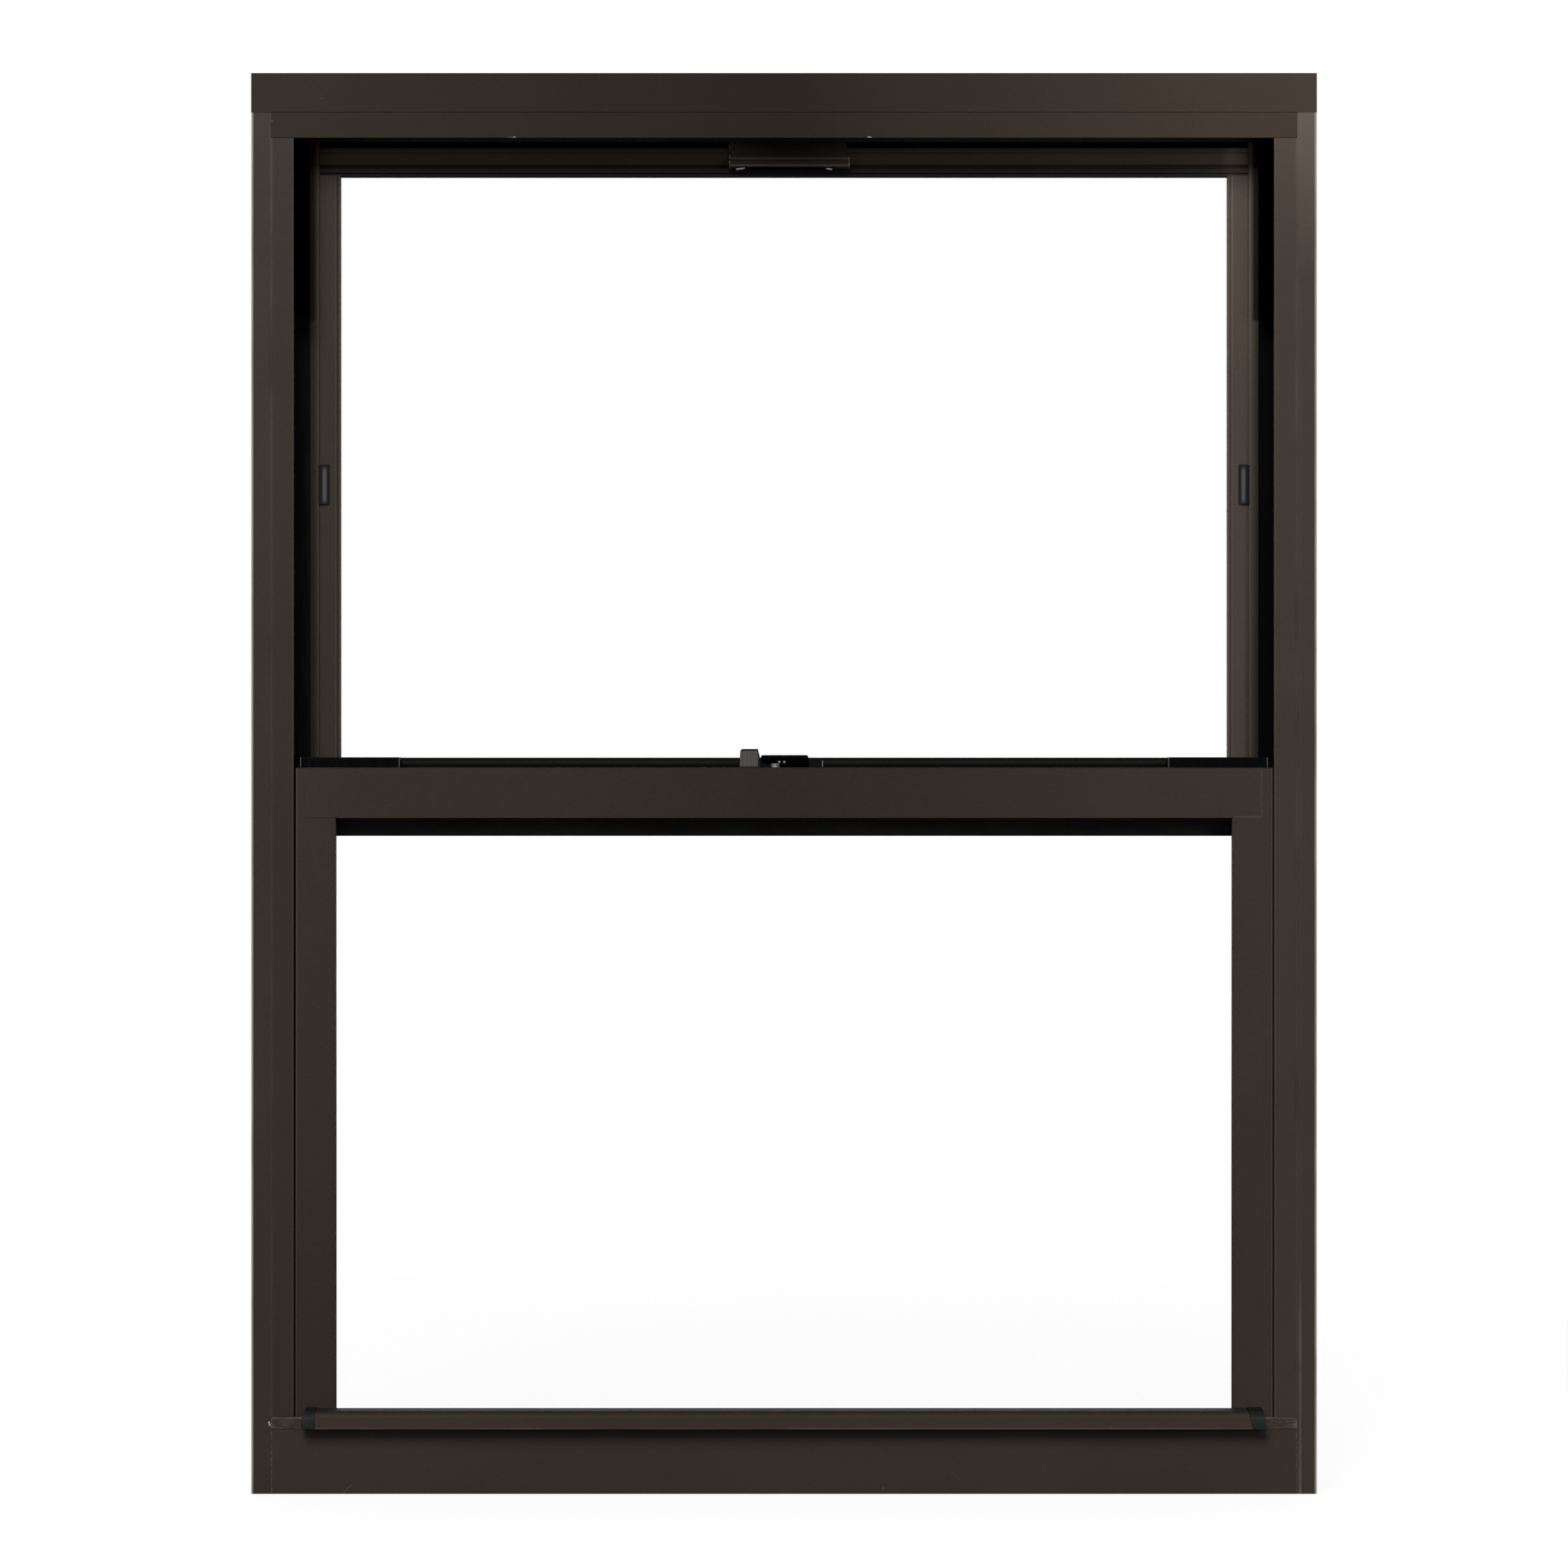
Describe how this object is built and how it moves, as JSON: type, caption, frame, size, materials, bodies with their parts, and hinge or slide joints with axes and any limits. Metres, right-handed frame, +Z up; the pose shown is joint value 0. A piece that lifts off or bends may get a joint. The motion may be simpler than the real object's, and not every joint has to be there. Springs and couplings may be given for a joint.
{
  "type": "double hung window",
  "caption": "Tilt-in double hung window in a dark bronze aluminium frame, with insulated sashes, sweep lock, tilt latches, head pull and lift rail.",
  "frame": {"origin": "middle of the sill's underside, half way through the frame's depth", "axes": "+X to the right as seen from the room, +Y from the room to the outside, +Z up"},
  "size_m": [0.9144, 0.1185, 1.2192],
  "materials": {
    "painted_frame": "satin dark bronze paint on aluminium extrusion",
    "track_vinyl": "black vinyl, satin",
    "seal": "black glazing rubber and pile",
    "clear_glass": "clear float glass",
    "spacer_bar": "dark sealed spacer",
    "black_moulding": "moulded black plastic, fine texture",
    "lock_casting": "painted die casting, satin",
    "spring_steel": "bare spring steel"
  },
  "bodies": {
    "root": {"head": "painted_frame", "sill": "painted_frame", "left_jamb": "painted_frame", "right_jamb": "painted_frame", "lower_left_stile": "painted_frame", "lower_right_stile": "painted_frame", "lower_top_rail": "painted_frame", "lower_bottom_rail": "painted_frame", "upper_left_stile": "painted_frame", "upper_right_stile": "painted_frame", "upper_top_rail": "painted_frame", "upper_bottom_rail": "painted_frame", "lower_bead": "painted_frame", "upper_bead": "painted_frame", "lift_rail": "painted_frame", "head_pull": "painted_frame", "left_track_liner": "track_vinyl", "right_track_liner": "track_vinyl", "left_outer_liner": "track_vinyl", "right_outer_liner": "track_vinyl", "left_stop_block": "track_vinyl", "right_stop_block": "track_vinyl", "head_seal": "seal", "lower_gasket": "seal", "upper_gasket": "seal", "lower_inner_glass": "clear_glass", "lower_outer_glass": "clear_glass", "upper_inner_glass": "clear_glass", "upper_outer_glass": "clear_glass", "lower_spacer": "spacer_bar", "upper_spacer": "spacer_bar", "lift_end_caps": "black_moulding", "vent_stops": "black_moulding", "left_tilt_latch": "black_moulding", "right_tilt_latch": "black_moulding", "lock_base": "lock_casting", "lock_lever": "lock_casting", "lock_keeper": "lock_casting", "pull_spring": "spring_steel"}
  },
  "joints": []
}
